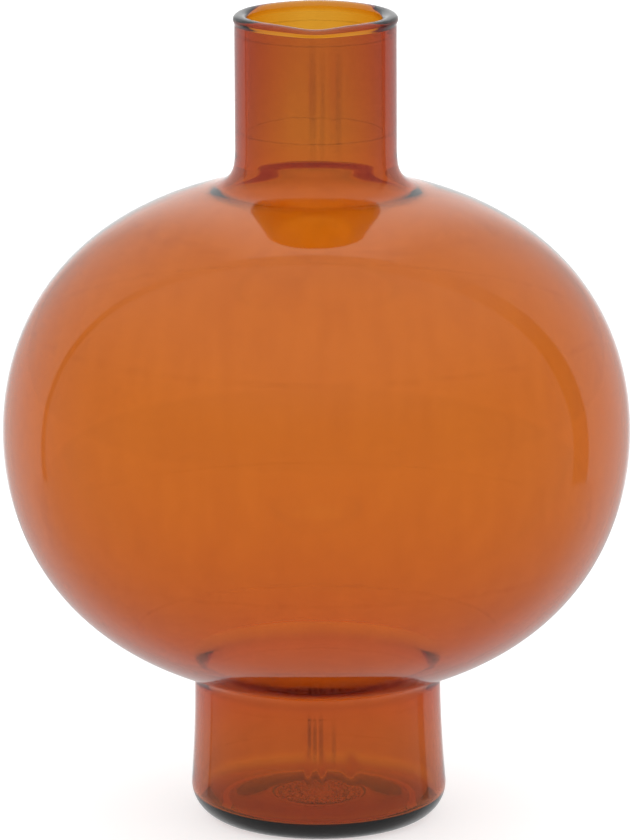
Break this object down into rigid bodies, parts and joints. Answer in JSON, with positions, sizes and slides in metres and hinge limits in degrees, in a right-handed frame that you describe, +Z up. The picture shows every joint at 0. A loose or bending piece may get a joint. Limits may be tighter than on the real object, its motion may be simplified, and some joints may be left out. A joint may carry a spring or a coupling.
{
  "type": "glass bud vase",
  "caption": "Hand-blown amber glass bud vase: an oblate hollow bulb on a short hollow foot with a domed base, and a straight narrow neck with a rolled, fire-polished rim.",
  "frame": {"origin": "centre of the base, on the table that the vase stands on", "axes": "+Z up along the vase's axis, through the mouth; X and Y are alike, because the vase is round"},
  "size_m": [0.1554, 0.1554, 0.203],
  "materials": {
    "amber_glass": "clear amber, fire-polished, faintly wavy",
    "thick_amber_glass": "clear amber, thick section, fire-polished"
  },
  "bodies": {
    "root": {"base_disc": "thick_amber_glass", "foot_wall": "amber_glass", "waist_ring": "amber_glass", "lower_bowl": "amber_glass", "belly": "amber_glass", "shoulder": "amber_glass", "neck_collar": "amber_glass", "neck_tube": "amber_glass", "rim_bead": "thick_amber_glass"}
  },
  "joints": []
}
